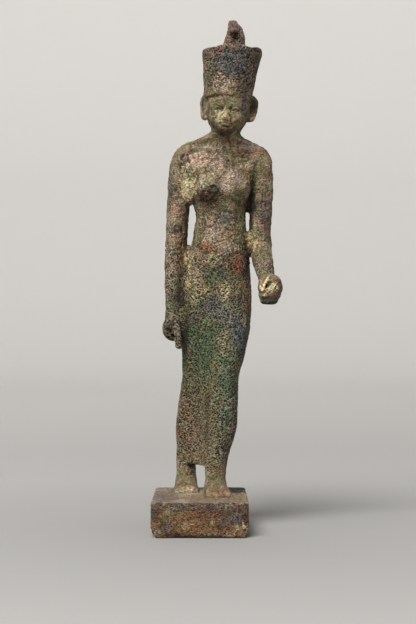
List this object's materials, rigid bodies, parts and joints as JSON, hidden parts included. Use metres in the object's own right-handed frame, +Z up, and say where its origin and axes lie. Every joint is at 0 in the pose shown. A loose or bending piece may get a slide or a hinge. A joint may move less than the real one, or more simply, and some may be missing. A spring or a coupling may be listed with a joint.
{
  "type": "neith statuette",
  "caption": "Small cast-bronze statuette of a striding woman in a flat-topped crown, left forearm held forward, in one piece with a plain rectangular base.",
  "frame": {"origin": "middle of the base's flat underside", "axes": "+Z up through the figure; the figure faces -Y, and its own left side is +X"},
  "size_m": [0.0402, 0.046, 0.1665],
  "materials": {
    "patinated_bronze": "cast bronze, corroded and granular, olive-brown with green, blue-grey and red patches"
  },
  "bodies": {
    "root": {"statuette": "patinated_bronze"}
  },
  "joints": []
}
